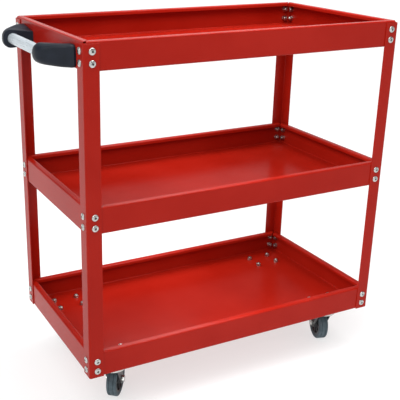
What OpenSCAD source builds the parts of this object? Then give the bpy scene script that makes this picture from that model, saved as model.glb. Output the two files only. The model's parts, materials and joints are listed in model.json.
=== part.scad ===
// Three-tier tool cart: three folded steel trays bolted into four angle-iron legs,
// a tube handle in two moulded brackets at one end, and four swivel casters below.
// The origin is on the floor under the middle of the whole cart, +Z is up, the long
// sides run along X and the handle is at the -X end.

/* [Frame] */
// Length over the outer faces of the legs
frame_length = 690; // [560:10:900]
// Width over the outer faces of the legs
frame_width = 372; // [320:2:460]
// Length of each leg
leg_length = 648; // [640:1:649]
// Width of each side of the leg angle
leg_flange = 30; // [28:1:36]
// Thickness of the leg sheet
leg_sheet = 2; // [1.5:0.5:3]
// Outer radius of the leg's fold
leg_fold = 4; // [3:0.5:6]

/* [Trays] */
// Height of a tray wall
tray_height = 52; // [48:1:60]
// Distance from one tray to the next
tray_pitch = 300; // [295:1:300]
// Thickness of the tray sheet
tray_sheet = 1.2; // [0.8:0.2:2]
// Outer radius of the tray folds. Each tray is one folded sheet, drawn as its floor, walls and rims.
tray_fold = 3; // [2.5:0.5:4]
// Width of the flange folded inwards round the rim
hem_width = 14; // [12:1:16]
// Depth of the lip folded down inside the rim
hem_lip = 8; // [6:1:9]
// Width of the mitre slot between two hems
mitre_gap = 1.5; // [1:0.5:3]
// Width of the seam between two walls at a corner
wall_seam = 0.2; // [0.1:0.1:0.5]

/* [Handle] */
// Outer diameter of the handle tube
tube_d = 21; // [19:1:25]
// Wall of the handle tube
tube_wall = 1.5; // [1:0.5:2]
// Distance from the legs' outer face to the tube's centre line
handle_reach = 37; // [35:1:60]
// Distance from the rim's top to the tube's centre line
handle_drop = 30.5; // [24:0.5:31]
// Distance from the frame's side to a bracket's root
bracket_inset = 37; // [36:1:44]
// Width of a bracket's root along the tray
root_width = 71; // [64:1:72]
// Height of a bracket's root
root_height = 40; // [38:1:42]
// Outer diameter of a bracket's socket
socket_d = 38; // [36:1:40]
// Distance from the frame's side to a socket's closed end
socket_inset = 76; // [74:1:80]
// Length of a bracket's socket
socket_length = 24; // [20:1:28]

/* [Casters] */
// Height of a caster from the floor to the top of its plate
caster_height = 102; // [101:1:110]
// Diameter of the tyre
wheel_d = 75; // [66:1:76]
// Width of the tyre
wheel_w = 21; // [18:1:22]
// Distance from the swivel axis to the axle
trail = 20; // [14:1:24]
// Directions in which the casters trail, counted from +X: front left and right, back left and right
trail_angles = [50, 72, 64, 58]; // [0:1:359]
// Size of the caster plate along the cart and across it
plate_size = [74, 60]; // [70:1:80]
// Bolt spacing of the caster plate along the cart and across it
plate_holes = [54, 40]; // [54:1:56]
// Distance from the frame's end and side to the swivel axis
caster_inset = [75, 60]; // [60:1:90]

/* [Fasteners] */
// Thread diameter of the frame bolts
bolt_d = 6; // [5:1:6]
// Diameter of a frame bolt's truss head
bolt_head_d = 13; // [11:0.5:13]
// Height of a frame bolt's head
bolt_head_h = 3.2; // [2.4:0.2:4]
// Distance from the leg's corner to the bolts
bolt_inset = 16.5; // [15:0.5:18]
// Distances from a tray's rim down to its bolts
bolt_drops = [17, 38]; // [17:1:38]
// Width across flats of the hex nuts
nut_af = 10; // [8:1:10]
// Height of the hex nuts
nut_h = 5; // [4:0.5:5]
// Diameter of the washers
washer_d = 12; // [10:1:12]

/* [Hidden] */
$fn = 48;
head_fn = 24;
corner_fn = 32;
foot_fn = 40;
ball_fn = 24;
eps = 0.01;
// How far a cut runs past the surfaces that it opens
past = 1;
washer_h = 1.2;
bolt_hole = bolt_d + 0.4;
thread_end = 2;
recess_depth = 1.6;
recess_arm = [4.6, 1.2];
head_rim_share = 1 / 3;
head_top_share = 0.6;

// The handle reaches past the frame at one end and the bolt heads at the other, so the
// frame's middle is moved along X to put the whole cart's middle at the origin.
handle_end = handle_reach + socket_d / 2;
frame_x = (handle_end - bolt_head_h) / 2;
tray_length = frame_length - 2 * leg_sheet;
tray_width = frame_width - 2 * leg_sheet;
tray_z = [for (level = [0 : 2]) caster_height + level * tray_pitch];
rim_z = [for (z = tray_z) z + tray_height];
corner_signs = [[-1, -1], [1, -1], [-1, 1], [1, 1]];

// Handle
handle_z = rim_z[2] - handle_drop;
root_t = 4;
root_round = 9;
socket_floor = 4;
handle_screw_d = 5;
handle_screw_head_d = 10;
handle_screw_head_h = 2.6;
handle_screw_inset = 14;
handle_screw_ys = [bracket_inset + handle_screw_inset, bracket_inset + root_width - handle_screw_inset];
handle_screw_length = 14;

// Casters, measured up from the floor
axle_z = wheel_d / 2;
axle_d = 8;
plate_t = 3;
plate_round = 8;
plate_z = caster_height - plate_t;
race_r = 17;
ball_d = 6;
ball_count = 8;
ball_play = 0.05;
ball_drop = 8;
ball_z = plate_z - ball_drop;
upper_race_h = 7;
upper_race_r = 24;
race_gap = 1;
lower_race_h = 6;
skirt_r = 29;
skirt_wall = 1.5;
skirt_drop = 5;
crown_t = 3;
crown_r = 27;
crown_z = ball_z - race_gap - lower_race_h - crown_t;
kingpin_d = 10;
kingpin_head_d = 17;
kingpin_head_h = 3.4;
swivel_play = 0.1;
fork_t = 2.5;
fork_gap = 24;
fork_foot_r = 10;
fork_top = [-20, 24];
bushing_d = 12;
hub_r = 10;
hub_foot_r = 11.5;
hub_half = 11.5;
web_half = 6;
rim_half = 9.5;
rim_wall = 3;
rim_slope = 1;
wheel_play = 0.05;
tyre_depth = 9;
tyre_groove = 1.2;
tyre_groove_ys = [-4.5, 4.5];
tyre_round = 3;
axle_head_af = 13;
axle_head_h = 5;
axle_thread_end = 1;
caster_bolt_head_h = 4;

CASTERS = ["fl", "fr", "bl", "br"];
LEVELS = ["bottom", "middle", "top"];

// ---- Placing ----

// Puts children at a corner of the frame: +x and +y point into the cart from the legs' outer faces.
module at_corner(corner) {
    sx = corner_signs[corner][0];
    sy = corner_signs[corner][1];
    translate([frame_x + sx * frame_length / 2, sy * frame_width / 2, 0])
        mirror([sx > 0 ? 1 : 0, 0, 0])
            mirror([0, sy > 0 ? 1 : 0, 0])
                children();
}

// Puts children on each bolt axis of one corner and one tray, with +z pointing inwards from the leg.
module at_corner_bolts(level) {
    for (drop = bolt_drops) {
        translate([bolt_inset, 0, rim_z[level] - drop]) rotate([-90, 0, 0]) children();
        translate([0, bolt_inset, rim_z[level] - drop]) rotate([0, 90, 0]) children();
    }
}

// Puts children on the axis of each caster plate's four bolts.
module at_plate_holes() {
    for (x = [-1, 1], y = [-1, 1])
        translate([x * plate_holes[0] / 2, y * plate_holes[1] / 2, 0]) children();
}

// Puts children under a caster's swivel axis, square with the cart.
module at_caster(corner) {
    sx = corner_signs[corner][0];
    sy = corner_signs[corner][1];
    translate([
        frame_x + sx * (frame_length / 2 - caster_inset[0]),
        sy * (frame_width / 2 - caster_inset[1]),
        0
    ]) children();
}

// The same, with +x turned the way that the caster trails.
module at_swivel(corner) {
    at_caster(corner) rotate([0, 0, trail_angles[corner]]) children();
}

// Puts children at the wheel's centre, with +z along the axle.
module at_axle(corner) {
    at_swivel(corner) translate([trail, 0, axle_z]) rotate([-90, 0, 0]) children();
}

// ---- Trays ----

// A quarter of a folded sheet: a ring sector about the centre, in the quarter given by its signs.
module fold_section(centre, quarter) {
    translate(centre) intersection() {
        difference() {
            circle(r = tray_fold);
            circle(r = tray_fold - tray_sheet);
        }
        translate([quarter[0] < 0 ? -tray_fold : 0, quarter[1] < 0 ? -tray_fold : 0])
            square(tray_fold);
    }
}

// The section of a tray's wall and its bottom fold. x is measured inwards.
module wall_section() {
    fold_section([tray_fold, tray_fold], [-1, -1]);
    translate([0, tray_fold]) square([tray_sheet, tray_height - 2 * tray_fold]);
}

// The section of the rim: the fold over the wall, the flange, its fold and the lip.
module rim_section() {
    fold_section([tray_fold, tray_height - tray_fold], [-1, 1]);
    translate([tray_fold, tray_height - tray_sheet]) square([hem_width - 2 * tray_fold, tray_sheet]);
    fold_section([hem_width - tray_fold, tray_height - tray_fold], [1, 1]);
    translate([hem_width - tray_sheet, tray_height - hem_lip]) square([tray_sheet, hem_lip - tray_fold]);
}

// Children's section along one side of a tray. It runs along +x, and its mitred ends leave half of
// the gap to the next side at each corner.
module mitred(length, gap) {
    start = gap / sqrt(2);
    end = length - start;
    intersection() {
        rotate([90, 0, 90]) linear_extrude(length) children();
        linear_extrude(tray_height)
            polygon([[start, 0], [end, 0], [end - hem_width, hem_width], [start + hem_width, hem_width]]);
    }
}

// Children's section round all four sides of a tray, as four separate lengths.
module four_sides(level, gap) {
    for (side = [0 : 3]) {
        along = side % 2 == 0 ? tray_length : tray_width;
        across = side % 2 == 0 ? tray_width : tray_length;
        translate([frame_x, 0, tray_z[level]]) rotate([0, 0, 90 * side])
            translate([-along / 2, -across / 2, 0]) mitred(along, gap) children();
    }
}

// The holes for the leg bolts and the handle screws of one tray.
module wall_holes(level) {
    for (corner = [0 : 3])
        at_corner(corner) at_corner_bolts(level) cylinder(h = leg_sheet + hem_width, d = bolt_hole);
    if (level == 2)
        for (corner = [0, 2])
            at_corner(corner) at_handle_screws()
                cylinder(h = hem_width, d = handle_screw_d, center = true);
}

// A tray's flat floor, between the bottom folds.
module tray_floor(level) {
    color("firebrick") difference() {
        translate([frame_x - tray_length / 2 + tray_fold, -tray_width / 2 + tray_fold, tray_z[level]])
            cube([tray_length - 2 * tray_fold, tray_width - 2 * tray_fold, tray_sheet]);
        if (level == 0)
            for (corner = [0 : 3])
                at_caster(corner) at_plate_holes() translate([0, 0, caster_height - past])
                    cylinder(h = tray_sheet + 2 * past, d = bolt_hole);
    }
}

// The four walls with their bottom folds.
module tray_walls(level) {
    color("firebrick") difference() {
        four_sides(level, wall_seam) wall_section();
        wall_holes(level);
    }
}

// The four rims, each a flange with its outer fold and its lip.
module tray_rims(level) {
    color("firebrick") four_sides(level, mitre_gap) rim_section();
}

// ---- Legs ----

module leg_section() {
    difference() {
        union() {
            translate([leg_fold, leg_fold]) circle(r = leg_fold);
            translate([leg_fold, 0]) square([leg_flange - leg_fold, leg_fold]);
            translate([0, leg_fold]) square([leg_fold, leg_flange - leg_fold]);
        }
        translate([leg_sheet, leg_sheet]) square(leg_flange);
    }
}

module leg(corner) {
    color("firebrick") at_corner(corner) difference() {
        translate([0, 0, caster_height]) linear_extrude(leg_length) leg_section();
        for (level = [0 : 2])
            at_corner_bolts(level) translate([0, 0, -past])
                cylinder(h = leg_sheet + 2 * past, d = bolt_hole);
    }
}

// ---- Handle ----

// Puts children on a bracket's screw axes, at the tray's outer face, with +z pointing inwards.
module at_handle_screws() {
    for (y = handle_screw_ys)
        translate([leg_sheet, y, handle_z]) rotate([0, 90, 0]) children();
}

// The bracket's root: a slab on the tray's end wall with rounded corners.
module bracket_root() {
    top = handle_z + root_height / 2;
    translate([leg_sheet - root_t, bracket_inset, top - root_height]) rotate([90, 0, 90])
        linear_extrude(root_t) union() {
            translate([root_round, 0]) square([root_width - 2 * root_round, root_height]);
            translate([0, root_round]) square([root_width, root_height - 2 * root_round]);
            for (x = [root_round, root_width - root_round], y = [root_round, root_height - root_round])
                translate([x, y]) circle(r = root_round, $fn = corner_fn);
        }
}

// A moulded bracket that sweeps from the end wall out and inwards to the tube's socket.
module handle_bracket(corner) {
    color([0.12, 0.13, 0.16]) at_corner(corner) difference() {
        hull() {
            bracket_root();
            translate([-handle_reach, socket_inset, handle_z])
                rotate([-90, 0, 0]) cylinder(h = socket_length, d = socket_d);
        }
        translate([-handle_reach, socket_inset + socket_floor, handle_z])
            rotate([-90, 0, 0]) cylinder(h = socket_length, d = tube_d);
        at_handle_screws() translate([0, 0, -handle_screw_length - past])
            cylinder(h = handle_screw_length + 2 * past, d = handle_screw_d);
    }
}

module handle_tube() {
    length = frame_width - 2 * (socket_inset + socket_floor);
    color("gainsboro")
        translate([frame_x - frame_length / 2 - handle_reach, 0, handle_z]) rotate([90, 0, 0])
            difference() {
                cylinder(h = length, d = tube_d, center = true);
                cylinder(h = length + 2 * past, d = tube_d - 2 * tube_wall, center = true);
            }
}

module handle_screws() {
    color("silver") for (corner = [0, 2])
        at_corner(corner) at_handle_screws() {
            translate([0, 0, -handle_screw_length])
                cylinder(h = handle_screw_length + tray_sheet, d = handle_screw_d);
            translate([0, 0, tray_sheet]) truss_head(handle_screw_head_d, handle_screw_head_h);
        }
}

// ---- Fasteners ----

// A truss head standing on z = 0, with a cross recess in its top.
module truss_head(head_d, head_h) {
    rim_h = head_h * head_rim_share;
    difference() {
        union() {
            cylinder(h = rim_h, d = head_d, $fn = head_fn);
            translate([0, 0, rim_h])
                cylinder(h = head_h - rim_h, d1 = head_d, d2 = head_d * head_top_share, $fn = head_fn);
        }
        translate([0, 0, head_h]) {
            cube([recess_arm[0], recess_arm[1], 2 * recess_depth], center = true);
            cube([recess_arm[1], recess_arm[0], 2 * recess_depth], center = true);
        }
    }
}

// A flat hexagon of the given width across flats.
module hex(af, height) {
    cylinder(h = height, d = af / cos(30), $fn = 6);
}

module frame_bolts() {
    length = leg_sheet + tray_sheet + washer_h + nut_h + thread_end;
    color("silver") for (corner = [0 : 3], level = [0 : 2])
        at_corner(corner) at_corner_bolts(level) {
            mirror([0, 0, 1]) truss_head(bolt_head_d, bolt_head_h);
            cylinder(h = length, d = bolt_d);
        }
}

// A washer and a nut standing on z = 0.
module washer_and_nut(thread_d) {
    difference() {
        cylinder(h = washer_h, d = washer_d);
        translate([0, 0, -past]) cylinder(h = washer_h + 2 * past, d = thread_d);
    }
    translate([0, 0, washer_h]) difference() {
        hex(nut_af, nut_h);
        translate([0, 0, -past]) cylinder(h = nut_h + 2 * past, d = thread_d);
    }
}

module caster_bolts() {
    stack = plate_t + tray_sheet + washer_h + nut_h + thread_end;
    color("silver") for (corner = [0 : 3])
        at_caster(corner) at_plate_holes() translate([0, 0, plate_z]) {
            cylinder(h = stack, d = bolt_d);
            mirror([0, 0, 1]) hex(nut_af, caster_bolt_head_h);
        }
}

// The washers and nuts of the frame bolts and the caster bolts.
module nuts() {
    color("silver") for (corner = [0 : 3]) {
        at_corner(corner) for (level = [0 : 2])
            at_corner_bolts(level) translate([0, 0, leg_sheet + tray_sheet]) washer_and_nut(bolt_d);
        at_caster(corner) at_plate_holes()
            translate([0, 0, caster_height + tray_sheet]) washer_and_nut(bolt_d);
    }
}

// ---- Casters ----

// The groove that the balls run in, cut out of both races.
module ball_groove() {
    translate([0, 0, ball_z]) rotate_extrude() translate([race_r, 0]) circle(d = ball_d + 2 * ball_play);
}

module caster_plate(corner) {
    inner = [plate_size[0] - 2 * plate_round, plate_size[1] - 2 * plate_round];
    color("lightgray") at_caster(corner) difference() {
        union() {
            translate([0, 0, plate_z]) linear_extrude(plate_t) union() {
                square([inner[0], plate_size[1]], center = true);
                square([plate_size[0], inner[1]], center = true);
                for (x = [-1, 1], y = [-1, 1])
                    translate([x * inner[0] / 2, y * inner[1] / 2]) circle(r = plate_round);
            }
            translate([0, 0, plate_z - upper_race_h]) cylinder(h = upper_race_h, r = upper_race_r);
        }
        at_plate_holes() translate([0, 0, plate_z - past]) cylinder(h = plate_t + 2 * past, d = bolt_hole);
        translate([0, 0, crown_z]) cylinder(h = caster_height, d = kingpin_d);
        ball_groove();
    }
}

// The kingpin is riveted flush in the plate and holds the fork by its lower head.
module caster_kingpin(corner) {
    color("silver") at_caster(corner) {
        translate([0, 0, crown_z - swivel_play - kingpin_head_h])
            cylinder(h = kingpin_head_h, d = kingpin_head_d);
        translate([0, 0, crown_z - swivel_play - eps])
            cylinder(h = caster_height - crown_z + swivel_play + eps, d = kingpin_d);
    }
}

module caster_balls(corner) {
    color("silver") at_swivel(corner)
        for (i = [0 : ball_count - 1])
            rotate([0, 0, i * 360 / ball_count])
                translate([race_r, 0, ball_z]) sphere(d = ball_d, $fn = ball_fn);
}

// The lower race, with a plated skirt that covers the fork's crown.
module caster_race(corner) {
    top = ball_z - race_gap;
    color("lightgray") at_swivel(corner) difference() {
        translate([0, 0, crown_z + crown_t - skirt_drop])
            cylinder(h = top - crown_z - crown_t + skirt_drop, r = skirt_r);
        translate([0, 0, crown_z - skirt_drop])
            cylinder(h = crown_t + skirt_drop, r = skirt_r - skirt_wall);
        translate([0, 0, crown_z]) cylinder(h = caster_height, d = kingpin_d + 2 * swivel_play);
        ball_groove();
    }
}

// One side plate of the fork, in the plane of the trail and the height.
module fork_side_section() {
    difference() {
        hull() {
            translate([fork_top[0], crown_z]) square([fork_top[1] - fork_top[0], eps]);
            translate([trail, axle_z]) circle(r = fork_foot_r, $fn = foot_fn);
        }
        translate([trail, axle_z]) circle(d = axle_d);
    }
}

module caster_fork(corner) {
    color([0.1, 0.11, 0.12]) at_swivel(corner) {
        translate([0, 0, crown_z]) difference() {
            cylinder(h = crown_t, r = crown_r);
            translate([0, 0, -past]) cylinder(h = crown_t + 2 * past, d = kingpin_d + 2 * swivel_play);
        }
        for (side = [-1, 1])
            translate([0, side * (fork_gap + fork_t) / 2, 0]) rotate([90, 0, 0])
                linear_extrude(fork_t, center = true) fork_side_section();
    }
}

module caster_axle(corner) {
    grip = fork_gap / 2 + fork_t;
    color("silver") at_axle(corner) {
        translate([0, 0, -grip]) cylinder(h = 2 * grip + nut_h + axle_thread_end, d = axle_d);
        translate([0, 0, -grip - axle_head_h]) hex(axle_head_af, axle_head_h);
    }
}

module caster_axle_nut(corner) {
    color("silver") at_axle(corner) translate([0, 0, fork_gap / 2 + fork_t]) difference() {
        hex(axle_head_af, nut_h);
        translate([0, 0, -past]) cylinder(h = nut_h + 2 * past, d = axle_d);
    }
}

module caster_bushing(corner) {
    color("silver") at_axle(corner) difference() {
        cylinder(h = fork_gap, d = bushing_d, center = true);
        cylinder(h = fork_gap + 2 * past, d = axle_d, center = true);
    }
}

// The wheel's core: a hub, a thin web and a rim under the tyre, turned about the axle.
module caster_core(corner) {
    bore_r = bushing_d / 2 + wheel_play;
    rim_r = wheel_d / 2 - tyre_depth;
    flare_r = rim_r - rim_wall - rim_slope;
    half = [
        [bore_r, hub_half], [hub_r, hub_half], [hub_foot_r, web_half],
        [flare_r, web_half], [rim_r - rim_wall, rim_half], [rim_r, rim_half]
    ];
    other_half = [for (i = [len(half) - 1 : -1 : 0]) [half[i][0], -half[i][1]]];
    color([0.25, 0.27, 0.29]) at_axle(corner) rotate_extrude(convexity = 4)
        polygon(concat(half, other_half));
}

// The section of a tyre: rounded shoulders and two grooves round the tread.
module tyre_section() {
    inner_r = wheel_d / 2 - tyre_depth;
    shoulder = [wheel_d / 2 - tyre_round, wheel_w / 2 - tyre_round];
    difference() {
        union() {
            translate([inner_r, -wheel_w / 2]) square([tyre_depth - tyre_round, wheel_w]);
            translate([inner_r, -shoulder[1]]) square([tyre_depth, 2 * shoulder[1]]);
            for (side = [-1, 1])
                translate([shoulder[0], side * shoulder[1]]) circle(r = tyre_round);
        }
        for (y = tyre_groove_ys)
            translate([wheel_d / 2 - tyre_groove, y - tyre_groove / 2])
                square([2 * tyre_groove, tyre_groove]);
    }
}

module caster_tyre(corner) {
    color([0.38, 0.43, 0.46]) at_axle(corner) rotate_extrude(convexity = 6) tyre_section();
}

// ---- Nodes ----

for (i = [0 : 2]) {
    tray_floor(i);
    tray_walls(i);
    tray_rims(i);
}
leg(0);  // leg_front_left
leg(1);  // leg_front_right
leg(2);  // leg_back_left
leg(3);  // leg_back_right
handle_bracket(0);  // handle_bracket_front
handle_bracket(2);  // handle_bracket_back
handle_tube();
handle_screws();
frame_bolts();
caster_bolts();
nuts();
for (i = [0 : 3]) {
    caster_plate(i);
    caster_kingpin(i);
    caster_balls(i);
    caster_race(i);
    caster_fork(i);
    caster_axle(i);
    caster_axle_nut(i);
    caster_bushing(i);
    caster_core(i);
    caster_tyre(i);
}
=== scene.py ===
"""Looks for the three-tier tool cart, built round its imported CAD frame.

Every builder works in millimetres in the frame's axes: X along the cart with the handle
at -X, Y across it, Z up. Meshes are scaled to metres when they become pieces.
"""

import json
import math
import random

import bmesh
import bpy
from mathutils import Matrix, Vector


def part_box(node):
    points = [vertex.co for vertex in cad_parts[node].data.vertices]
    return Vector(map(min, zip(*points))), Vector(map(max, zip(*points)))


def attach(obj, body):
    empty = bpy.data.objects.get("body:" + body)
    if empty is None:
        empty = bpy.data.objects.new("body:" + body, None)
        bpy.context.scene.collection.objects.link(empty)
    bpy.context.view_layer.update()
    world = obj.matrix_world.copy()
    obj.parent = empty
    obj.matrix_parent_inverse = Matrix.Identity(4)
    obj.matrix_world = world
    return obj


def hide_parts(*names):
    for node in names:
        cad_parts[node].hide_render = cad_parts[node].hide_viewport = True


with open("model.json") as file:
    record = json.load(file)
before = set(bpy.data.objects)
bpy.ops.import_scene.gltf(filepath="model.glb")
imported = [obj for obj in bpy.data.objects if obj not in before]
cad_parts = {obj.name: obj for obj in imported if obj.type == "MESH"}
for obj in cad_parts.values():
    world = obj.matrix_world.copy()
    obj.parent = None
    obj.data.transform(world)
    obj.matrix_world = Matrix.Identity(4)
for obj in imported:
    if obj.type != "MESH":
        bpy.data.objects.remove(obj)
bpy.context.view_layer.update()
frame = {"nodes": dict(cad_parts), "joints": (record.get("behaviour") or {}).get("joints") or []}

MM = 0.001
random.seed(11)

# Folded sheet
TRAY_SHEET = 1.2
TRAY_FOLD = 3.0
TRAY_CORNER = 4.0
HEM_WIDTH = 14.0
HEM_LIP = 8.0
HEM_START = 5.0
HEM_GAP = 1.1
LEG_SHEET = 2.0
LEG_FOLD = 4.0

# Fasteners
BOLT_INSET = 16.5
BOLT_DROPS = (17.0, 38.0)
BOLT_D = 6.0
BOLT_HEAD_D = 13.0
BOLT_HEAD_H = 3.2
WASHER_D = 12.0
WASHER_H = 1.2
NUT_AF = 10.0
NUT_H = 5.0
THREAD_END = 2.0
THREAD_PITCH = 1.0
CASTER_HOLES = (27.0, 20.0)
CASTER_HEAD_H = 4.0

# Handle
SCREW_HEAD_D = 10.0
SCREW_HEAD_H = 2.6
SCREW_INSET = 14.0
SCREW_D = 5.0
SCREW_TIP_R = 1.6
SCREW_LENGTH = 15.0
ROOT_WIDTH = 71.0
ROOT_T = 4.0
ROOT_ROUND = 9.0
ARM_SLICES = 40
ARM_PATH_POINTS = 200
ARM_STRAIGHT = 18
ARM_BEND_R = 26
ARM_THINNING = 0.36
BORE_LIP = ((3.0, 0.4), (1.6, -0.2), (0.5, 0.2), (0.0, 1.0), (0.0, 9.0))
SOCKET_LENGTH = 24.0
TUBE_D = 21.0
TUBE_WALL = 1.5

CASTERS = ("fl", "fr", "bl", "br")
LEGS = {"front_left": (-1, -1), "front_right": (1, -1), "back_left": (-1, 1), "back_right": (1, 1)}
TRAYS = ("top", "middle", "bottom")

# Casters
PLATE_T = 3.0
PLATE_CORNER = 8.0
RACE_R = 24.0
SKIRT_WALL = 1.5
SKIRT_TOP_R = 19.0
SKIRT_HOLE_R = 5.4
CROWN_TOP = 84.0
CROWN_T = 3.0
CROWN_R = 27.0
CROWN_HOLE_R = 5.2
CROWN_EDGES = ((-1, -20.0), (1, 24.0))
FORK_GAP = 12.0
FORK_SHEET = 2.5
FOOT_R = 10.0
AXLE_D = 8.0
AXLE_AF = 13.0
AXLE_HEAD_H = 5.0
AXLE_GRIP = 14.5
TYRE_DEPTH = 9.0
TYRE_HALF_W = 10.5
SHOULDER_R = 3.0
GROOVE_DEPTH = 1.3
GROOVE_W = 1.4
GROOVE_Y = 4.5
RIBS = 8

# Light and floor, in metres. A sun has a name, a place to shine from, a strength and a spread.
SUNS = (("key", (-1.9, -1.5, 2.1), 1.55, 40), ("overhead", (0.2, 0.3, 3.0), 1.9, 75))
BOX_PLACE = (0.1, -0.1, 1.35)
BOX_TARGET = (0, 0, 0.7)
BOX_SIZE = (0.9, 0.6)
BOX_POWER = 9.0
UNDER_TRAY_DROP = 0.006
UNDER_TRAY_SIZE = (0.32, 0.62)
UNDER_TRAY_POWER = 1.9
FLOOR_HALF = 20.0

# The part of a noise value's range that its colours and roughness run over
NOISE_SPAN = (0.35, 0.65)


def box_mm(node):
    """The lowest and highest corner of a CAD node, in millimetres."""
    low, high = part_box(node)
    return low / MM, high / MM


# ---- Camera, floor and light ----


def aim(obj, target):
    """Turns a camera or light to look at a point."""
    obj.rotation_euler = (Vector(target) - obj.location).to_track_quat("-Z", "Y").to_euler()


def add_camera():
    """The camera of the picture: a short telephoto that looks down on the handle's end."""
    data = bpy.data.cameras.new("camera")
    data.sensor_width = 36.0
    data.lens = 70.5
    data.shift_x = 0.1188
    data.shift_y = -0.0133
    camera = bpy.data.objects.new("camera", data)
    heading, pitch, roll = math.radians(26.91), math.radians(20.03), math.radians(0.55)
    camera.matrix_world = (
        Matrix.Translation((-0.8047, -1.4045, 0.9621))
        @ Matrix.Rotation(-heading, 4, "Z")
        @ Matrix.Rotation(math.pi / 2 - pitch, 4, "X")
        @ Matrix.Rotation(roll, 4, "Z")
    )
    bpy.context.scene.collection.objects.link(camera)
    bpy.context.scene.camera = camera


def add_area_light(name, location, target, size, power):
    """A rectangular light that the camera doesn't see."""
    data = bpy.data.lights.new(name, "AREA")
    data.shape = "RECTANGLE"
    data.size, data.size_y = size
    data.energy = power
    light = bpy.data.objects.new(name, data)
    light.location = location
    light.visible_camera = False
    aim(light, target)
    bpy.context.scene.collection.objects.link(light)


def add_sun(name, source, strength, spread):
    """A distant soft light that shines from a direction towards the origin."""
    data = bpy.data.lights.new(name, "SUN")
    data.energy = strength
    data.angle = math.radians(spread)
    light = bpy.data.objects.new(name, data)
    light.location = source
    aim(light, (0, 0, 0))
    bpy.context.scene.collection.objects.link(light)


def add_surround():
    """A sky that is almost white at the horizon and much dimmer overhead."""
    world = bpy.data.worlds.new("surround")
    world.use_nodes = True
    nodes, links = world.node_tree.nodes, world.node_tree.links
    height = nodes.new("ShaderNodeSeparateXYZ")
    ramp = nodes.new("ShaderNodeValToRGB")
    links.new(nodes.new("ShaderNodeTexCoord").outputs["Generated"], height.inputs["Vector"])
    links.new(height.outputs["Z"], ramp.inputs["Fac"])
    links.new(ramp.outputs["Color"], nodes["Background"].inputs["Color"])
    horizon, overhead = ramp.color_ramp.elements
    horizon.position, overhead.position = 0.10, 0.45
    horizon.color = (0.94, 0.94, 0.94, 1.0)
    overhead.color = (0.17, 0.17, 0.17, 1.0)
    bpy.context.scene.world = world


def add_lights():
    """Two soft suns, a box over the cart, one beneath each of the upper two trays, and the sky."""
    for sun in SUNS:
        add_sun(*sun)
    add_area_light("over_cart", BOX_PLACE, BOX_TARGET, BOX_SIZE, BOX_POWER)
    center = (box_mm("leg_front_left")[0].x + box_mm("leg_front_right")[1].x) / 2 * MM
    for level in ("top", "middle"):
        place = (center, 0, box_mm(level + "_tray_floor")[0].z * MM - UNDER_TRAY_DROP)
        add_area_light("under_" + level, place, (center, 0, 0), UNDER_TRAY_SIZE, UNDER_TRAY_POWER)
    add_surround()
    bpy.context.scene.view_settings.view_transform = "Standard"


def add_floor(material):
    """A plain square floor under the cart, not attached to any of its bodies."""
    bm = bmesh.new()
    signs = ((-1, -1), (1, -1), (1, 1), (-1, 1))
    bm.faces.new([bm.verts.new((x * FLOOR_HALF, y * FLOOR_HALF, 0)) for x, y in signs])
    mesh = bpy.data.meshes.new("floor")
    bm.to_mesh(mesh)
    bm.free()
    mesh.materials.append(material)
    floor = bpy.data.objects.new("floor", mesh)
    bpy.context.scene.collection.objects.link(floor)


# ---- Materials ----


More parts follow.
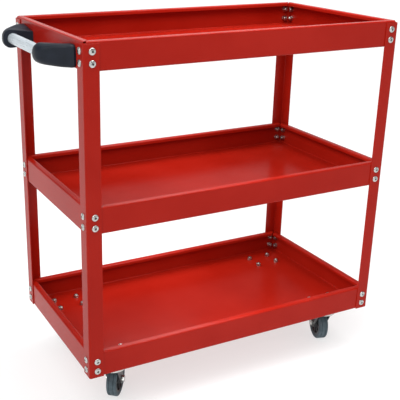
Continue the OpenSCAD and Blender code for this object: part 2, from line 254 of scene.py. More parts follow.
class Look:
    """A principled material with procedural detail in the object's own coordinates."""

    def __init__(self, name, color, roughness, metallic=0.0, specular=0.5):
        self.material = bpy.data.materials.new(name)
        self.material.use_nodes = True
        self.nodes = self.material.node_tree.nodes
        self.links = self.material.node_tree.links
        self.shader = self.nodes["Principled BSDF"]
        self.shader.inputs["Base Color"].default_value = (*color, 1.0)
        self.shader.inputs["Roughness"].default_value = roughness
        self.shader.inputs["Metallic"].default_value = metallic
        self.shader.inputs["Specular IOR Level"].default_value = specular
        self.place = self.nodes.new("ShaderNodeTexCoord").outputs["Object"]

    def noise(self, scale, detail=3.0, rough=0.5, stretch=None):
        """A noise value; scale is in features per metre, stretch scales it along each axis."""
        node = self.nodes.new("ShaderNodeTexNoise")
        node.inputs["Scale"].default_value = scale
        node.inputs["Detail"].default_value = detail
        node.inputs["Roughness"].default_value = rough
        place = self.place
        if stretch:
            mapping = self.nodes.new("ShaderNodeMapping")
            mapping.inputs["Scale"].default_value = stretch
            self.links.new(place, mapping.inputs["Vector"])
            place = mapping.outputs["Vector"]
        self.links.new(place, node.inputs["Vector"])
        return node.outputs["Fac"]

    def spots(self, scale):
        """A cell pattern for moulded grain."""
        node = self.nodes.new("ShaderNodeTexVoronoi")
        node.inputs["Scale"].default_value = scale
        self.links.new(self.place, node.inputs["Vector"])
        return node.outputs["Distance"]

    def spread(self, value, low, high):
        """A noise value mapped to low..high."""
        node = self.nodes.new("ShaderNodeMapRange")
        node.inputs["From Min"].default_value = NOISE_SPAN[0]
        node.inputs["From Max"].default_value = NOISE_SPAN[1]
        node.inputs["To Min"].default_value = low
        node.inputs["To Max"].default_value = high
        self.links.new(value, node.inputs["Value"])
        return node.outputs["Result"]

    def color(self, value, first, second):
        """Base colour that runs from first to second with a noise value."""
        node = self.nodes.new("ShaderNodeValToRGB")
        ramp = node.color_ramp
        ramp.elements[0].position, ramp.elements[1].position = NOISE_SPAN
        ramp.elements[0].color = (*first, 1.0)
        ramp.elements[1].color = (*second, 1.0)
        self.links.new(value, node.inputs["Fac"])
        self.links.new(node.outputs["Color"], self.shader.inputs["Base Color"])

    def roughness(self, value, low, high):
        """Roughness that runs from low to high with a noise value."""
        self.links.new(self.spread(value, low, high), self.shader.inputs["Roughness"])

    def bump(self, *layers):
        """Bump from (value, depth in metres, strength) layers, the finest last."""
        normal = None
        for value, depth, strength in layers:
            node = self.nodes.new("ShaderNodeBump")
            node.inputs["Distance"].default_value = depth
            node.inputs["Strength"].default_value = strength
            self.links.new(value, node.inputs["Height"])
            if normal:
                self.links.new(normal, node.inputs["Normal"])
            normal = node.outputs["Normal"]
        self.links.new(normal, self.shader.inputs["Normal"])


def red_paint():
    """Glossy powder coat with faint orange peel and the slight waves of pressed sheet."""
    look = Look("red_powder_coat", (0.37, 0.010, 0.004), 0.25)
    look.shader.inputs["IOR"].default_value = 1.2
    look.color(look.noise(9.0, 4.0), (0.305, 0.008, 0.003), (0.335, 0.011, 0.005))
    look.roughness(look.noise(60.0, 4.0), 0.21, 0.27)
    look.bump((look.noise(6.0, 1.0), 0.0003, 0.25), (look.noise(520.0, 2.0), 0.00002, 0.3))
    return look.material


def zinc():
    """Bright zinc plate, a little clouded and scratched."""
    look = Look("zinc_plate", (0.75, 0.75, 0.72), 0.3, metallic=1.0)
    look.color(look.noise(240.0, 5.0), (0.40, 0.41, 0.40), (0.62, 0.62, 0.60))
    look.roughness(look.noise(500.0, 4.0), 0.16, 0.34)
    look.bump((look.noise(1500.0, 3.0), 0.00005, 0.3))
    return look.material


def recess_painted_shade():
    """Painted shade for the bottom of a driver recess: dull, dark metal."""
    look = Look("recess_shadow", (0.05, 0.055, 0.05), 0.6, metallic=0.4)
    look.color(look.noise(900.0), (0.03, 0.035, 0.03), (0.08, 0.085, 0.075))
    look.roughness(look.noise(1500.0), 0.5, 0.7)
    return look.material


def black_plastic():
    """Satin moulded plastic with a fine leathery grain."""
    look = Look("black_moulding", (0.007, 0.010, 0.017), 0.38, specular=0.22)
    look.color(look.noise(35.0, 4.0), (0.005, 0.008, 0.014), (0.009, 0.013, 0.022))
    look.roughness(look.noise(300.0, 3.0), 0.36, 0.48)
    look.bump((look.spots(900.0), 0.00008, 0.35), (look.noise(2200.0, 2.0), 0.00004, 0.3))
    return look.material


def tube_finish():
    """Pale satin tube with drawing marks along its length."""
    look = Look("satin_tube", (0.62, 0.70, 0.74), 0.32, metallic=0.35)
    look.color(look.noise(400.0, 3.0, stretch=(1, 0.05, 1)), (0.50, 0.56, 0.60), (0.56, 0.62, 0.66))
    look.roughness(look.noise(600.0, 3.0, stretch=(1, 0.04, 1)), 0.26, 0.40)
    look.bump((look.noise(1500.0, 2.0, stretch=(1, 0.03, 1)), 0.00003, 0.3))
    return look.material


def fork_paint():
    """Satin black paint over stamped steel."""
    look = Look("fork_black", (0.014, 0.015, 0.017), 0.35)
    look.color(look.noise(120.0, 4.0), (0.011, 0.012, 0.014), (0.022, 0.023, 0.025))
    look.roughness(look.noise(260.0, 3.0), 0.28, 0.45)
    look.bump((look.noise(900.0, 2.0), 0.00008, 0.25))
    return look.material


def tyre_rubber():
    """Matt grey-blue rubber with a bloom and a fine moulded grain."""
    look = Look("grey_rubber", (0.10, 0.14, 0.155), 0.7, specular=0.35)
    look.color(look.noise(90.0, 5.0, 0.6), (0.048, 0.072, 0.086), (0.080, 0.115, 0.134))
    look.roughness(look.noise(200.0, 4.0), 0.62, 0.8)
    look.bump((look.noise(700.0, 3.0), 0.0002, 0.3), (look.spots(1800.0), 0.0001, 0.2))
    return look.material


def core_plastic():
    """Dark moulded wheel plastic."""
    look = Look("wheel_plastic", (0.020, 0.022, 0.025), 0.5)
    look.color(look.noise(110.0, 4.0), (0.016, 0.018, 0.021), (0.032, 0.034, 0.038))
    look.roughness(look.noise(350.0, 3.0), 0.42, 0.6)
    look.bump((look.noise(1200.0, 2.0), 0.0001, 0.3))
    return look.material


def floor_white():
    """A pale floor that glows a little, so that shadows on it stay faint."""
    look = Look("studio_floor", (0.38, 0.38, 0.38), 0.7, specular=0.1)
    look.color(look.noise(1.5, 2.0), (0.37, 0.37, 0.37), (0.39, 0.39, 0.39))
    look.shader.inputs["Emission Color"].default_value = (1.0, 1.0, 1.0, 1.0)
    look.shader.inputs["Emission Strength"].default_value = 0.64
    return look.material


# ---- Mesh helpers ----


def arc(center, radius, start, end, steps):
    """Points of an arc in a plane, from one angle to another in degrees."""
    return [
        (
            center[0] + radius * math.cos(math.radians(start + (end - start) * i / steps)),
            center[1] + radius * math.sin(math.radians(start + (end - start) * i / steps)),
        )
        for i in range(steps + 1)
    ]


def rounded(points, radius, steps=3, closed=False):
    """A polyline with each of its corners replaced by an arc of up to the given radius."""
    made = []
    count = len(points)
    for i, here in enumerate(points):
        if not closed and i in (0, count - 1):
            made.append(tuple(here))
            continue
        here = Vector(here)
        before, after = Vector(points[i - 1]) - here, Vector(points[(i + 1) % count]) - here
        turn = before.angle(after)
        cut = min(radius / math.tan(turn / 2), before.length * 0.45, after.length * 0.45)
        first, last = here + before.normalized() * cut, here + after.normalized() * cut
        for k in range(steps + 1):
            share = k / steps
            point = first * (1 - share) ** 2 + here * 2 * share * (1 - share) + last * share**2
            made.append(tuple(point))
    return made


def join_rings(bm, first, second):
    """Quads between two closed rings of vertices of the same length."""
    count = len(first)
    for i in range(count):
        k = (i + 1) % count
        corners = []
        for vert in (first[i], first[k], second[k], second[i]):
            if vert not in corners:
                corners.append(vert)
        if len(corners) > 2:
            bm.faces.new(corners)


def lathe(bm, profile, matrix=None, segments=48, closed=False):
    """Turns (radius, height) points about local Z. A point on the axis becomes one vertex."""
    matrix = matrix or Matrix.Identity(4)
    turns = [2 * math.pi * i / segments for i in range(segments)]
    rings = []
    for radius, height in profile:
        if radius < 1e-6:
            pole = bm.verts.new(matrix @ Vector((0, 0, height)))
            rings.append([pole] * segments)
            continue
        circle = [(radius * math.cos(turn), radius * math.sin(turn), height) for turn in turns]
        rings.append([bm.verts.new(matrix @ Vector(spot)) for spot in circle])
    for first, second in zip(rings, rings[1:] + (rings[:1] if closed else [])):
        join_rings(bm, first, second)


def extrude(bm, outline, low, high, matrix=None):
    """A prism between two heights over a closed plane outline."""
    matrix = matrix or Matrix.Identity(4)
    rings = [[bm.verts.new(matrix @ Vector((x, y, z))) for x, y in outline] for z in (low, high)]
    join_rings(bm, *rings)
    bm.faces.new(rings[0][::-1])
    bm.faces.new(rings[1])


def temporary(bm):
    """A bmesh as a linked object, for a boolean."""
    bmesh.ops.recalc_face_normals(bm, faces=bm.faces)
    mesh = bpy.data.meshes.new("temporary")
    bm.to_mesh(mesh)
    bm.free()
    obj = bpy.data.objects.new("temporary", mesh)
    bpy.context.scene.collection.objects.link(obj)
    return obj


def combined(base, operation, *others):
    """The mesh of one object after boolean operations with others. All are used up."""
    for other in others:
        modifier = base.modifiers.new("combine", "BOOLEAN")
        modifier.operation = operation
        modifier.object = other
        modifier.solver = "EXACT"
    evaluated = base.evaluated_get(bpy.context.evaluated_depsgraph_get())
    mesh = bpy.data.meshes.new_from_object(evaluated)
    for obj in (base, *others):
        bpy.data.objects.remove(obj)
    return mesh


def add_copy(bm, mesh, matrix):
    """Adds a copy of a mesh to a bmesh."""
    moved = mesh.copy()
    moved.transform(matrix)
    if matrix.determinant() < 0:
        moved.flip_normals()
    bm.from_mesh(moved)
    bpy.data.meshes.remove(moved)


def facing(position, direction, spin=0.0):
    """A frame at a position with local Z along a direction, turned about it by spin degrees."""
    turn = Vector(direction).to_track_quat("Z", "Y").to_matrix().to_4x4()
    return Matrix.Translation(position) @ turn @ Matrix.Rotation(math.radians(spin), 4, "Z")


def add_piece(name, bm, materials, body, nodes, bevel=0.0, recalc=True):
    """Makes a bmesh into a piece that rides on a body and stands for CAD nodes."""
    if recalc:
        bmesh.ops.recalc_face_normals(bm, faces=bm.faces)
    bmesh.ops.scale(bm, vec=(MM, MM, MM), verts=bm.verts)
    mesh = bpy.data.meshes.new(name)
    bm.to_mesh(mesh)
    bm.free()
    for material in materials:
        mesh.materials.append(material)
    mesh.shade_smooth()
    mesh.set_sharp_from_angle(angle=math.radians(38))
    piece = bpy.data.objects.new(name, mesh)
    bpy.context.scene.collection.objects.link(piece)
    if bevel:
        rounding = piece.modifiers.new("edges", "BEVEL")
        rounding.width = bevel * MM
        rounding.segments = 2
        rounding.limit_method = "ANGLE"
        rounding.angle_limit = math.radians(50)
        rounding.harden_normals = False
    weights = piece.modifiers.new("normals", "WEIGHTED_NORMAL")
    weights.keep_sharp = True
    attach(piece, body)
    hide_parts(*nodes)
    return piece


# ---- Trays and legs ----


class TrayPlan:
    """Where a point of a tray's side lies: which side, how far along and how far inwards."""

    def __init__(self, low, high):
        self.base = low.z
        plan_corners = ((low.x, low.y), (high.x, low.y), (high.x, high.y), (low.x, high.y))
        self.corners = [Vector(corner) for corner in plan_corners]
        self.inwards = [Vector(way) for way in ((0, 1), (-1, 0), (0, -1), (1, 0))]

    def length(self, side):
        """A side's length from corner to corner."""
        return (self.corners[(side + 1) % 4] - self.corners[side]).length

    def on_side(self, side, along, inset, height):
        """On the straight part of a side."""
        run = (self.corners[(side + 1) % 4] - self.corners[side]).normalized()
        spot = self.corners[side] + run * along + self.inwards[side] * inset
        return spot.x, spot.y, self.base + height

    def on_corner(self, side, angle, inset, height):
        """On the rounded corner at the end of a side."""
        following = (side + 1) % 4
        first, second = self.inwards[side], self.inwards[following]
        center = self.corners[following] + (first + second) * TRAY_CORNER
        spot = center - (first * math.cos(angle) + second * math.sin(angle)) * (TRAY_CORNER - inset)
        return spot.x, spot.y, self.base + height


def build_tray(level, paint):
    """A pan folded from one sheet: floor, walls, and a flange and lip folded in round the rim."""
    nodes = [level + "_tray_" + part for part in ("floor", "walls", "rims")]
    low, high = box_mm(nodes[1])[0], box_mm(nodes[2])[1]
    plan = TrayPlan(low, high)
    height = high.z - low.z
    fold, sheet = TRAY_FOLD, TRAY_SHEET
    bm = bmesh.new()

    # The walls, from under the floor up the outside and down the inside to the floor's top.
    outside = arc((fold, fold), fold, 270, 180, 5) + [(0, height - fold)]
    inside = [(sheet, height - fold)] + arc((fold, fold), fold - sheet, 180, 270, 5)
    corner_steps = 6
    rings = []
    for inset, z in outside + inside:
        ring = []
        for side in range(4):
            ring.append(plan.on_side(side, HEM_START, inset, z))
            ring.append(plan.on_side(side, plan.length(side) - HEM_START, inset, z))
            for k in range(corner_steps + 1):
                ring.append(plan.on_corner(side, math.pi / 2 * k / corner_steps, inset, z))
        rings.append([bm.verts.new(co) for co in ring])
    stations = len(rings[0])
    per_side = stations // 4
    rim = len(outside) - 1
    for j in range(len(rings) - 1):
        for i in range(stations):
            if j == rim and i % per_side == 0:
                continue
            k = (i + 1) % stations
            bm.faces.new((rings[j][i], rings[j][k], rings[j + 1][k], rings[j + 1][i]))
    bm.faces.new(rings[0][::-1])
    bm.faces.new(rings[-1])

    # The rim's flange and lip on each side, mitred at both ends.
    over = arc((fold, height - fold), fold, 180, 90, 5)[1:]
    over += arc((HEM_WIDTH - fold, height - fold), fold, 90, 0, 5) + [(HEM_WIDTH, height - HEM_LIP)]
    under = arc((fold, height - fold), fold - sheet, 180, 90, 5)[1:]
    under += arc((HEM_WIDTH - fold, height - fold), fold - sheet, 90, 0, 5)
    under += [(HEM_WIDTH - sheet, height - HEM_LIP)]
    for side in range(4):
        near, far = side * per_side, side * per_side + 1
        skins = []
        for ring, section in ((rings[rim], over), (rings[rim + 1], under)):
            skin = [(ring[near], ring[far])]
            for inset, z in section:
                start = max(HEM_START, inset + HEM_GAP)
                ends = (start, plan.length(side) - start)
                skin.append(tuple(bm.verts.new(plan.on_side(side, s, inset, z)) for s in ends))
            skins.append(skin)
        outer, inner = skins
        for j in range(len(outer) - 1):
            bm.faces.new((*outer[j], *outer[j + 1][::-1]))
            bm.faces.new((*inner[j][::-1], *inner[j + 1]))
            for end in (0, 1):
                bm.faces.new((outer[j][end], outer[j + 1][end], inner[j + 1][end], inner[j][end]))
        bm.faces.new((*outer[-1], *inner[-1][::-1]))
    add_piece(level + "_tray_sheet", bm, [paint], "frame", nodes, bevel=0.3)


def build_leg(name, signs, paint):
    """An angle folded from sheet, open towards the inside of the cart."""
    node = "leg_" + name
    low, high = box_mm(node)
    flange = high.x - low.x
    corner = (low.x if signs[0] < 0 else high.x, low.y if signs[1] < 0 else high.y)
    center = (LEG_FOLD, LEG_FOLD)
    outline = [(flange, 0)] + arc(center, LEG_FOLD, 270, 180, 6) + [(0, flange), (LEG_SHEET, flange)]
    outline += arc(center, LEG_FOLD - LEG_SHEET, 180, 270, 6) + [(flange, LEG_SHEET)]
    outline = [(corner[0] - signs[0] * x, corner[1] - signs[1] * y) for x, y in outline]
    bm = bmesh.new()
    extrude(bm, outline, low.z, high.z)
    add_piece(node + "_angle", bm, [paint], "frame", [node], bevel=0.5)


# ---- Fasteners ----


def dome_height(radius, head_d, head_h):
    """Height of a truss head's dome over its seat."""
    rim = head_h * 0.22
    return rim + (head_h - rim) * math.sqrt(max(0.0, 1 - (2 * radius / head_d) ** 2))


def cross_arm(angle, head_h):
    """One tapered arm of a cross recess."""
    bm = bmesh.new()
    rings = []
    for length, width, z in ((6.4, 2.0, head_h + 0.4), (2.6, 1.3, head_h - 2.1)):
        corners = ((-length, -width), (length, -width), (length, width), (-length, width))
        rings.append([bm.verts.new((x / 2, y / 2, z)) for x, y in corners])
    join_rings(bm, *rings)
    bm.faces.new(rings[0])
    bm.faces.new(rings[1][::-1])
    bmesh.ops.rotate(bm, verts=bm.verts, matrix=Matrix.Rotation(angle, 3, "Z"))
    return temporary(bm)


def head_mesh(head_d, head_h):
    """A truss head seated on z = 0, with a cross recess whose faces take material 1, its painted shade."""
    bm = bmesh.new()
    steps = 9
    profile = [(0, 0), (head_d / 2 - 0.25, 0), (head_d / 2, 0.2)]
    for i in range(steps + 1):
        radius = head_d / 2 * math.cos(math.pi / 2 * i / steps)
        profile.append((radius, dome_height(radius, head_d, head_h)))
    profile[-1] = (0, head_h)
    lathe(bm, profile, segments=40)
    mesh = combined(temporary(bm), "DIFFERENCE", cross_arm(0, head_h), cross_arm(math.pi / 2, head_h))
    # Faces sunk in the cross recess take material 1, painted shade.
    for face in mesh.polygons:
        radius = face.center.xy.length
        sunk = dome_height(radius, head_d, head_h) - face.center.z
        in_recess = radius < 3.4 and face.center.z > 0.3 and sunk > 0.12
        face.material_index = 1 if in_recess else 0
    return mesh


def hex_mesh(across_flats, height, hole_d=0.0):
    """A hexagon standing on z = 0 with turned chamfers, and a hole if it is a nut."""
    corner = across_flats / math.sqrt(3)
    face = across_flats / 2 * 0.96
    drop = (corner - face) * math.tan(math.radians(30))
    bm = bmesh.new()
    extrude(bm, arc((0, 0), corner * 1.001, 0, 300, 5), -1, height + 1)
    prism = temporary(bm)
    bm = bmesh.new()
    inner = hole_d / 2
    profile = [(face, 0), (corner + 0.02, drop), (corner + 0.02, height - drop), (face, height)]
    if inner:
        chamfer = 0.5
        profile = [(inner, chamfer), (inner + chamfer, 0)] + profile
        profile += [(inner + chamfer, height), (inner, height - chamfer)]
    else:
        profile = [(0, 0)] + profile + [(0, height)]
    lathe(bm, profile, segments=48, closed=bool(inner))
    return combined(prism, "INTERSECT", temporary(bm))


def thread_profile(diameter, start, end):
    """A threaded end as turned ridges, chamfered at its tip."""
    crest, root = diameter / 2, diameter / 2 - 0.55 * THREAD_PITCH
    profile = [(crest, start)]
    z = start
    while z + THREAD_PITCH <= end - 0.4:
        profile += [(root, z + 0.45 * THREAD_PITCH), (root, z + 0.55 * THREAD_PITCH)]
        profile += [(crest, z + 0.95 * THREAD_PITCH)]
        z += THREAD_PITCH
    return profile + [(root, end), (0, end)]


def leg_bolt_places():
    """A frame on each bolt of the legs, on the leg's outer face with Z pointing outwards."""
    places = []
    for level in TRAYS:
        rim_z = box_mm(level + "_tray_rims")[1].z
        for name, (sx, sy) in LEGS.items():
            low, high = box_mm("leg_" + name)
            x, y = (low.x if sx < 0 else high.x), (low.y if sy < 0 else high.y)
            for drop in BOLT_DROPS:
                z = rim_z - drop
                on_long_face, on_end_face = (x - sx * BOLT_INSET, y, z), (x, y - sy * BOLT_INSET, z)
                places.append(facing(on_long_face, (0, sy, 0), random.uniform(0, 90)))
                places.append(facing(on_end_face, (sx, 0, 0), random.uniform(0, 90)))
    return places


def caster_bolt_spots(plans):
    """The plan places of the casters' bolts."""
    return [
        (plan.x + dx * CASTER_HOLES[0], plan.y + dy * CASTER_HOLES[1])
        for plan in plans
        for dx in (-1, 1)
        for dy in (-1, 1)
    ]


def washer_profile():
    """A flat washer's section, a little wider in the hole than the bolt."""
    hole, rim = BOLT_D / 2 + 0.1, WASHER_D / 2
    ring = [(hole, 0), (rim, 0), (rim, WASHER_H), (hole, WASHER_H)]
    return rounded(ring, 0.25, 2, closed=True)


def add_nut(bm, nut, matrix):
    """A washer and a nut on local z = 0."""
    lathe(bm, washer_profile(), matrix, segments=40, closed=True)
    spin = Matrix.Rotation(random.uniform(0, math.pi), 4, "Z")
    add_copy(bm, nut, matrix @ Matrix.Translation((0, 0, WASHER_H)) @ spin)


def build_fasteners(plans, materials):
    """The truss-head bolts of the legs, the hex bolts of the casters, and their washers and nuts."""
    grip = LEG_SHEET + TRAY_SHEET
    flip = Matrix.Rotation(math.pi, 4, "X")
    head = head_mesh(BOLT_HEAD_D, BOLT_HEAD_H)
    nut = hex_mesh(NUT_AF, NUT_H, BOLT_D)
    bolts, nuts = bmesh.new(), bmesh.new()
    for place in leg_bolt_places():
        add_copy(bolts, head, place)
        inner = place @ flip
        thread = thread_profile(BOLT_D, grip + WASHER_H, grip + WASHER_H + NUT_H + THREAD_END)
        lathe(bolts, [(0, 0), (BOLT_D / 2, 0)] + thread, inner, segments=24)
        add_nut(nuts, nut, inner @ Matrix.Translation((0, 0, grip)))
    add_piece("leg_bolt_set", bolts, materials, "frame", ["frame_bolts"], recalc=False)

    floor_top = box_mm("bottom_tray_floor")[1].z
    plate_low = box_mm("caster_bolts")[0].z
    start = floor_top + WASHER_H - plate_low
    head = hex_mesh(NUT_AF, CASTER_HEAD_H)
    bolts = bmesh.new()
    for spot in caster_bolt_spots(plans):
        place = facing((*spot, plate_low), (0, 0, 1), random.uniform(0, 60))
        add_copy(bolts, head, place)
        thread = thread_profile(BOLT_D, start, start + NUT_H + THREAD_END)
        inside_head = CASTER_HEAD_H - 0.5
        lathe(bolts, [(0, inside_head), (BOLT_D / 2, inside_head)] + thread, place, segments=24)
        add_nut(nuts, nut, facing((*spot, floor_top), (0, 0, 1)))
    add_piece("caster_bolt_set", bolts, materials[:1], "frame", ["caster_bolts"], recalc=False)
    add_piece("nut_set", nuts, materials[:1], "frame", ["nuts"], recalc=False)


# ---- Handle ----


def filleted_path(points, radius, count):
    """Evenly spaced points along a plane polyline with one rounded corner."""
    a, b, c = (Vector(p) for p in points)
    turn = (a - b).angle(c - b)
    cut = radius / math.tan(turn / 2)
    first, last = b + (a - b).normalized() * cut, b + (c - b).normalized() * cut
    dense = [a + (first - a) * i / 20 for i in range(20)]
    for i in range(30):
        s = i / 30
        dense.append(first * (1 - s) ** 2 + b * 2 * s * (1 - s) + last * s**2)
    dense += [last + (c - last) * i / 20 for i in range(21)]
    lengths = [0.0]
    for p, q in zip(dense, dense[1:]):
        lengths.append(lengths[-1] + (q - p).length)
    made, k = [], 0
    for i in range(count):
        goal = lengths[-1] * i / (count - 1)
        while k < len(dense) - 2 and lengths[k + 1] < goal:
            k += 1
        share = (goal - lengths[k]) / (lengths[k + 1] - lengths[k])
        made.append(dense[k] + (dense[k + 1] - dense[k]) * share)
    return made


def smooth_step(value, start, end):
    """Rises smoothly from 0 at start to 1 at end."""
    share = min(1.0, max(0.0, (value - start) / (end - start)))
    return share * share * (3 - 2 * share)


def section_points(half_w, half_h, radii, steps=6):
    """A rectangle about the origin with corner radii on its right and left, counted upwards."""
    made = []
    for quarter, (sx, sy) in enumerate(((1, 1), (-1, 1), (-1, -1), (1, -1))):
        radius = radii[0] if sx > 0 else radii[1]
        center = (sx * (half_w - radius), sy * (half_h - radius))
        made += arc(center, radius, 90 * quarter, 90 * quarter + 90, steps)
    return made


def rounded_end(distance, radius):
    """How far an outline has drawn back at a distance from its end, where its corner is round."""
    near = max(0.0, radius - distance)
    return radius - math.sqrt(max(0.0, radius**2 - near**2))


def build_bracket(side, plastic):
    """A moulded arm: upright slices fan from the wall to its front, from the tube to the leg."""
    name = "front" if side < 0 else "back"
    low, high = box_mm("handle_bracket_" + name)
    tube_low, tube_high = box_mm("handle_tube")
    axis_x, axis_z = (tube_low.x + tube_high.x) / 2, (tube_low.z + tube_high.z) / 2
    wall_x = high.x
    far_y = max(abs(low.y), abs(high.y))
    near_y = far_y - ROOT_WIDTH
    half_h = (high.z - low.z) / 2
    ring_y = (tube_high.y - tube_low.y) / 2 - SOCKET_LENGTH + 4.0
    bends = [(low.x, ring_y), (low.x, ring_y + ARM_STRAIGHT), (wall_x - ROOT_T, far_y)]
    front = filleted_path(bends, ARM_BEND_R, ARM_PATH_POINTS)
    bm = bmesh.new()
    rings = []
    for k in range(ARM_SLICES):
        share = (1 - math.cos(math.pi * k / (ARM_SLICES - 1))) / 2
        wall = Vector((wall_x, near_y + (far_y - near_y) * share))
        face = front[round(share * (len(front) - 1))]
        drawn = rounded_end(far_y - wall.y, ROOT_ROUND) + rounded_end(wall.y - near_y, 1.5)
        half_w = (wall - face).length / 2
        soft = 18.0 - 10.5 * smooth_step(share, 0.1, 0.75)
        radii = (min(half_w - 0.05, 0.8), min(half_w - 0.05, soft))
        middle = (wall + face) / 2
        across = (wall - face).normalized()
        ring = []
        for u, v in section_points(half_w, half_h - drawn, radii):
            spot = middle + across * u
            thinned = 1 - ARM_THINNING * (1 - smooth_step(share, 0.0, 0.8)) * (u + half_w) / (2 * half_w)
            ring.append(bm.verts.new((spot.x, side * spot.y, axis_z + v * thinned)))
        rings.append(ring)
    for first, second in zip(rings, rings[1:]):
        join_rings(bm, first, second)
    bm.faces.new(rings[-1])

    # The inner face leans, and a lipped bore in it takes the tube.
    lean = (ring_y - near_y) / (wall_x - low.x)
    bore = TUBE_D / 2 + 0.2
    previous = rings[0]
    for widening, depth in BORE_LIP:
        radius = bore + widening
        ring = []
        for vert in rings[0]:
            ray = Vector((vert.co.x - axis_x, vert.co.z - axis_z)).normalized() * radius
            y = ring_y - lean * (axis_x + ray.x - low.x) + depth
            ring.append(bm.verts.new((axis_x + ray.x, side * y, axis_z + ray.y)))
        join_rings(bm, previous, ring)
        previous = ring
    bm.faces.new(previous)
    nodes = ["handle_bracket_" + name]
    add_piece("handle_arm_" + name, bm, [plastic], "frame", nodes, bevel=0.8)


def build_tube(finish):
    """The push handle's tube between the sockets."""
    low, high = box_mm("handle_tube")
    x, z = (low.x + high.x) / 2, (low.z + high.z) / 2
    half = (high.y - low.y) / 2
    outer, inner = TUBE_D / 2, TUBE_D / 2 - TUBE_WALL
    section = rounded([(inner, -half), (outer, -half), (outer, half), (inner, half)], 0.4, 2, closed=True)
    bm = bmesh.new()
    lathe(bm, section, facing((x, 0, z), (0, 1, 0)), segments=72, closed=True)
    add_piece("handle_grip_tube", bm, [finish], "frame", ["handle_tube"])


def build_handle_screws(materials):
    """The screws that hold the arms, with their heads inside the top tray."""
    wall_x = box_mm("handle_bracket_front")[1].x + TRAY_SHEET
    tube_low, tube_high = box_mm("handle_tube")
    z = (tube_low.z + tube_high.z) / 2
    head = head_mesh(SCREW_HEAD_D, SCREW_HEAD_H)
    bm = bmesh.new()
    for side, name in ((-1, "front"), (1, "back")):
        low, high = box_mm("handle_bracket_" + name)
        outer_y = max(abs(low.y), abs(high.y))
        for y in (outer_y - SCREW_INSET, outer_y - ROOT_WIDTH + SCREW_INSET):
            place = facing((wall_x, side * y, z), (1, 0, 0), random.uniform(0, 90))
            add_copy(bm, head, place)
            shank = [(0, 0.3), (SCREW_D / 2, 0.3), (SCREW_D / 2, 1.0 - SCREW_LENGTH)]
            shank += [(SCREW_TIP_R, -SCREW_LENGTH), (0, -SCREW_LENGTH)]
            lathe(bm, shank, place, segments=20)
    add_piece("handle_screw_set", bm, materials, "frame", ["handle_screws"], recalc=False)


# ---- Casters ----


class CasterPlan:
    """One caster's places: its swivel axis, the way it trails and its wheel's centre."""

    def __init__(self, tag):
        self.tag = tag
        joints = {j["name"]: j for j in frame["joints"]}
        pivot = Vector(joints[tag + "_swivel"]["pos_m"]) / MM
        hub = Vector(joints[tag + "_roll"]["pos_m"]) / MM
        self.x, self.y = pivot.x, pivot.y
        self.trail = (hub.xy - pivot.xy).length
        self.axle_z = hub.z
        heading = math.atan2(hub.y - pivot.y, hub.x - pivot.x)
        self.upright = Matrix.Translation((self.x, self.y, 0))
        self.turned = self.upright @ Matrix.Rotation(heading, 4, "Z")
        # local Z along the axle, towards +Y of the turned frame
        at_hub = Matrix.Translation((self.trail, 0, self.axle_z))
        self.axle = self.turned @ at_hub @ Matrix.Rotation(-math.pi / 2, 4, "X")

    def named(self, part):
        """The full name of one of this caster's nodes, bodies or pieces."""
        return "caster_" + self.tag + "_" + part


def build_caster_plate(plan, metal):
    """The top plate with rounded corners and the pressed upper race under it."""
    node = plan.named("plate")
    low, high = box_mm(node)
    half = ((high.x - low.x) / 2, (high.y - low.y) / 2)
    under = high.z - PLATE_T
    bm = bmesh.new()
    extrude(bm, section_points(*half, (PLATE_CORNER, PLATE_CORNER)), under, high.z, plan.upright)
    race = [(0, under), (RACE_R - 1.5, under), (RACE_R, under - 2.2)]
    race += [(RACE_R, low.z + 1.2), (RACE_R - 1.0, low.z), (0, low.z)]
    lathe(bm, rounded(race, 1.2), plan.upright, segments=56)
    add_piece(plan.named("plate_pressing"), bm, [metal], "frame", [node], bevel=0.5)


def build_caster_race(plan, metal):
    """The plated lower race with its skirt over the fork's crown."""
    node = plan.named("race")
    low, high = box_mm(node)
    radius = (high.x - low.x) / 2
    inner = radius - SKIRT_WALL
    outside = [(SKIRT_TOP_R, high.z), (radius - 2.5, high.z - 0.4), (radius, high.z - 3.0), (radius, low.z)]
    inside = [(inner, low.z), (inner, CROWN_TOP), (SKIRT_HOLE_R, CROWN_TOP), (SKIRT_HOLE_R, high.z - 2.0)]
    bm = bmesh.new()
    lathe(bm, rounded(outside + inside, 0.9, closed=True), plan.turned, segments=64, closed=True)
    add_piece(plan.named("skirt"), bm, [metal], plan.named("swivel"), [node])


def fork_edge(plan, sign, crown_x, top, z):
    """The back (-1) or front (1) edge of a fork's side at a height: straight, then round the foot."""
    round_x = plan.trail + sign * math.sqrt(max(0.0, FOOT_R**2 - (z - plan.axle_z) ** 2))
    if z < plan.axle_z:
        return round_x
    center = Vector((plan.trail, plan.axle_z))
    start = Vector((crown_x, top))
    away = start - center
    reach = math.acos(min(1.0, FOOT_R / away.length))
    angle = math.atan2(away.y, away.x) - sign * reach
    touch = center + Vector((math.cos(angle), math.sin(angle))) * FOOT_R
    if z < touch.y:
        return round_x
    share = (z - touch.y) / (top - touch.y)
    return touch.x + (start.x - touch.x) * share


def fork_outline(plan, crown_z):
    """The outline of a fork's side, down its front edge and up its back edge."""
    rows = [crown_z + 0.5 - i * 4.0 for i in range(9)]
    rows = [z for z in rows if z > plan.axle_z + FOOT_R * 0.9]
    rows += [plan.axle_z + FOOT_R * math.sin(math.radians(a)) for a in range(60, -91, -10)]
    back, front = ([(fork_edge(plan, *edge, crown_z, z), z) for z in rows] for edge in CROWN_EDGES)
    kept = []
    for point in front + back[::-1]:
        if not kept or (Vector(point) - Vector(kept[-1])).length > 0.05:
            kept.append(point)
    return kept


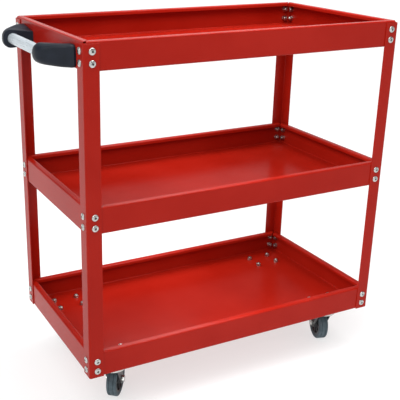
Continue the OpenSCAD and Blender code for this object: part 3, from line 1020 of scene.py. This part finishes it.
def build_fork(plan, paint):
    """The stamped fork: a round crown and two tapered sides with rounded feet."""
    node = plan.named("fork")
    high = box_mm(node)[1]
    crown_z = high.z - CROWN_T
    bm = bmesh.new()
    crown = [(CROWN_HOLE_R, crown_z), (CROWN_R, crown_z), (CROWN_R, high.z), (CROWN_HOLE_R, high.z)]
    lathe(bm, rounded(crown, 0.8, closed=True), plan.turned, segments=64, closed=True)
    outline = fork_outline(plan, crown_z)
    for side in (-1, 1):
        faces = []
        for y in (side * FORK_GAP, side * (FORK_GAP + FORK_SHEET)):
            faces.append([bm.verts.new(plan.turned @ Vector((x, y, z))) for x, z in outline])
        join_rings(bm, *faces)
        bm.faces.new(faces[0])
        bm.faces.new(faces[1][::-1])
    body = plan.named("swivel")
    add_piece(plan.named("fork_stamping"), bm, [paint], body, [node], bevel=0.6)


def build_axle(plan, head, nut, metal):
    """The wheel's hex bolt and its nut."""
    body = plan.named("swivel")
    bm = bmesh.new()
    add_copy(bm, head, plan.axle @ Matrix.Translation((0, 0, -AXLE_GRIP - AXLE_HEAD_H)))
    inside_head = -AXLE_GRIP - 0.5
    profile = [(0, inside_head), (AXLE_D / 2, inside_head)]
    profile += thread_profile(AXLE_D, AXLE_GRIP, AXLE_GRIP + NUT_H + 1.0)
    lathe(bm, profile, plan.axle, segments=32)
    add_piece(plan.named("axle_bolt"), bm, [metal], body, [plan.named("axle")], recalc=False)
    bm = bmesh.new()
    add_copy(bm, nut, plan.axle @ Matrix.Translation((0, 0, AXLE_GRIP)))
    nodes = [plan.named("axle_nut")]
    add_piece(plan.named("axle_hex_nut"), bm, [metal], body, nodes, recalc=False)


def wheel_radii(plan):
    """The tyre's outer radius and the radius of its seat on the core."""
    low, high = box_mm(plan.named("tyre"))
    tyre_r = (high.z - low.z) / 2
    return tyre_r, tyre_r - TYRE_DEPTH


def mirrored(profile):
    """A profile's other half, carried on over the wheel's middle plane."""
    return [(r, -z) for r, z in profile[::-1]]


def build_core(plan, plastic):
    """The moulded core with its ribs."""
    seat_r = wheel_radii(plan)[1]
    half = [(6.05, -11.5), (10.0, -11.5), (11.3, -6)]
    half += [(seat_r - 4.5, -5), (seat_r - 3.0, -9.5), (seat_r, -9.5)]
    bm = bmesh.new()
    core = rounded(half + mirrored(half), 0.7, closed=True)
    lathe(bm, core, plan.axle, segments=64, closed=True)
    rib = [(10.8, -0.9), (seat_r - 3.4, -1.3), (seat_r - 3.4, 1.3), (10.8, 0.9)]
    for i in range(RIBS):
        turn = plan.axle @ Matrix.Rotation(2 * math.pi * i / RIBS, 4, "Z")
        for heights in ((-8.4, -5.2), (5.2, 8.4)):
            extrude(bm, rib, *heights, turn)
    nodes = [plan.named("core")]
    add_piece(plan.named("wheel_core"), bm, [plastic], plan.named("wheel"), nodes, bevel=0.4)


def build_tyre(plan, rubber):
    """The tyre, with a moulded ring on each side and two grooves in its tread."""
    tyre_r, seat_r = wheel_radii(plan)
    groove_r = tyre_r - GROOVE_DEPTH
    side_y = -TYRE_HALF_W
    half = [(seat_r, side_y + 0.6), (seat_r + 0.8, side_y), (seat_r + 3.4, side_y)]
    half += [(seat_r + 3.7, side_y + 0.35), (seat_r + 4.1, side_y + 0.35), (seat_r + 4.4, side_y)]
    half += arc((tyre_r - SHOULDER_R, side_y + SHOULDER_R), SHOULDER_R, 270, 360, 6)
    half += [(tyre_r, -GROOVE_Y - GROOVE_W / 2), (groove_r, -GROOVE_Y - GROOVE_W / 2 + 0.2)]
    half += [(groove_r, -GROOVE_Y + GROOVE_W / 2 - 0.2), (tyre_r, -GROOVE_Y + GROOVE_W / 2)]
    bm = bmesh.new()
    lathe(bm, half + mirrored(half), plan.axle, segments=96, closed=True)
    nodes = [plan.named("tyre")]
    add_piece(plan.named("wheel_tyre"), bm, [rubber], plan.named("wheel"), nodes)


# ---- The whole cart ----

add_camera()
add_lights()
add_floor(floor_white())

paint = red_paint()
metal = zinc()
recess = recess_painted_shade()
plastic = black_plastic()
fork_black = fork_paint()
rubber = tyre_rubber()
wheel_plastic = core_plastic()
# The second fastener material is the painted shade of the drivers' recesses.
fastener_metals = [metal, recess]

for level in TRAYS:
    build_tray(level, paint)
for leg, leg_signs in LEGS.items():
    build_leg(leg, leg_signs, paint)

build_bracket(-1, plastic)
build_bracket(1, plastic)
build_tube(tube_finish())
build_handle_screws(fastener_metals)

plans = [CasterPlan(tag) for tag in CASTERS]
build_fasteners(plans, fastener_metals)
axle_head = hex_mesh(AXLE_AF, AXLE_HEAD_H)
axle_nut = hex_mesh(AXLE_AF, NUT_H, AXLE_D)
for plan in plans:
    build_caster_plate(plan, metal)
    build_caster_race(plan, metal)
    build_fork(plan, fork_black)
    build_axle(plan, axle_head, axle_nut, metal)
    build_core(plan, wheel_plastic)
    build_tyre(plan, rubber)
    for part in ("kingpin", "balls", "bushing"):
        kept = frame["nodes"][plan.named(part)]
        for slot in kept.material_slots:
            slot.material = metal
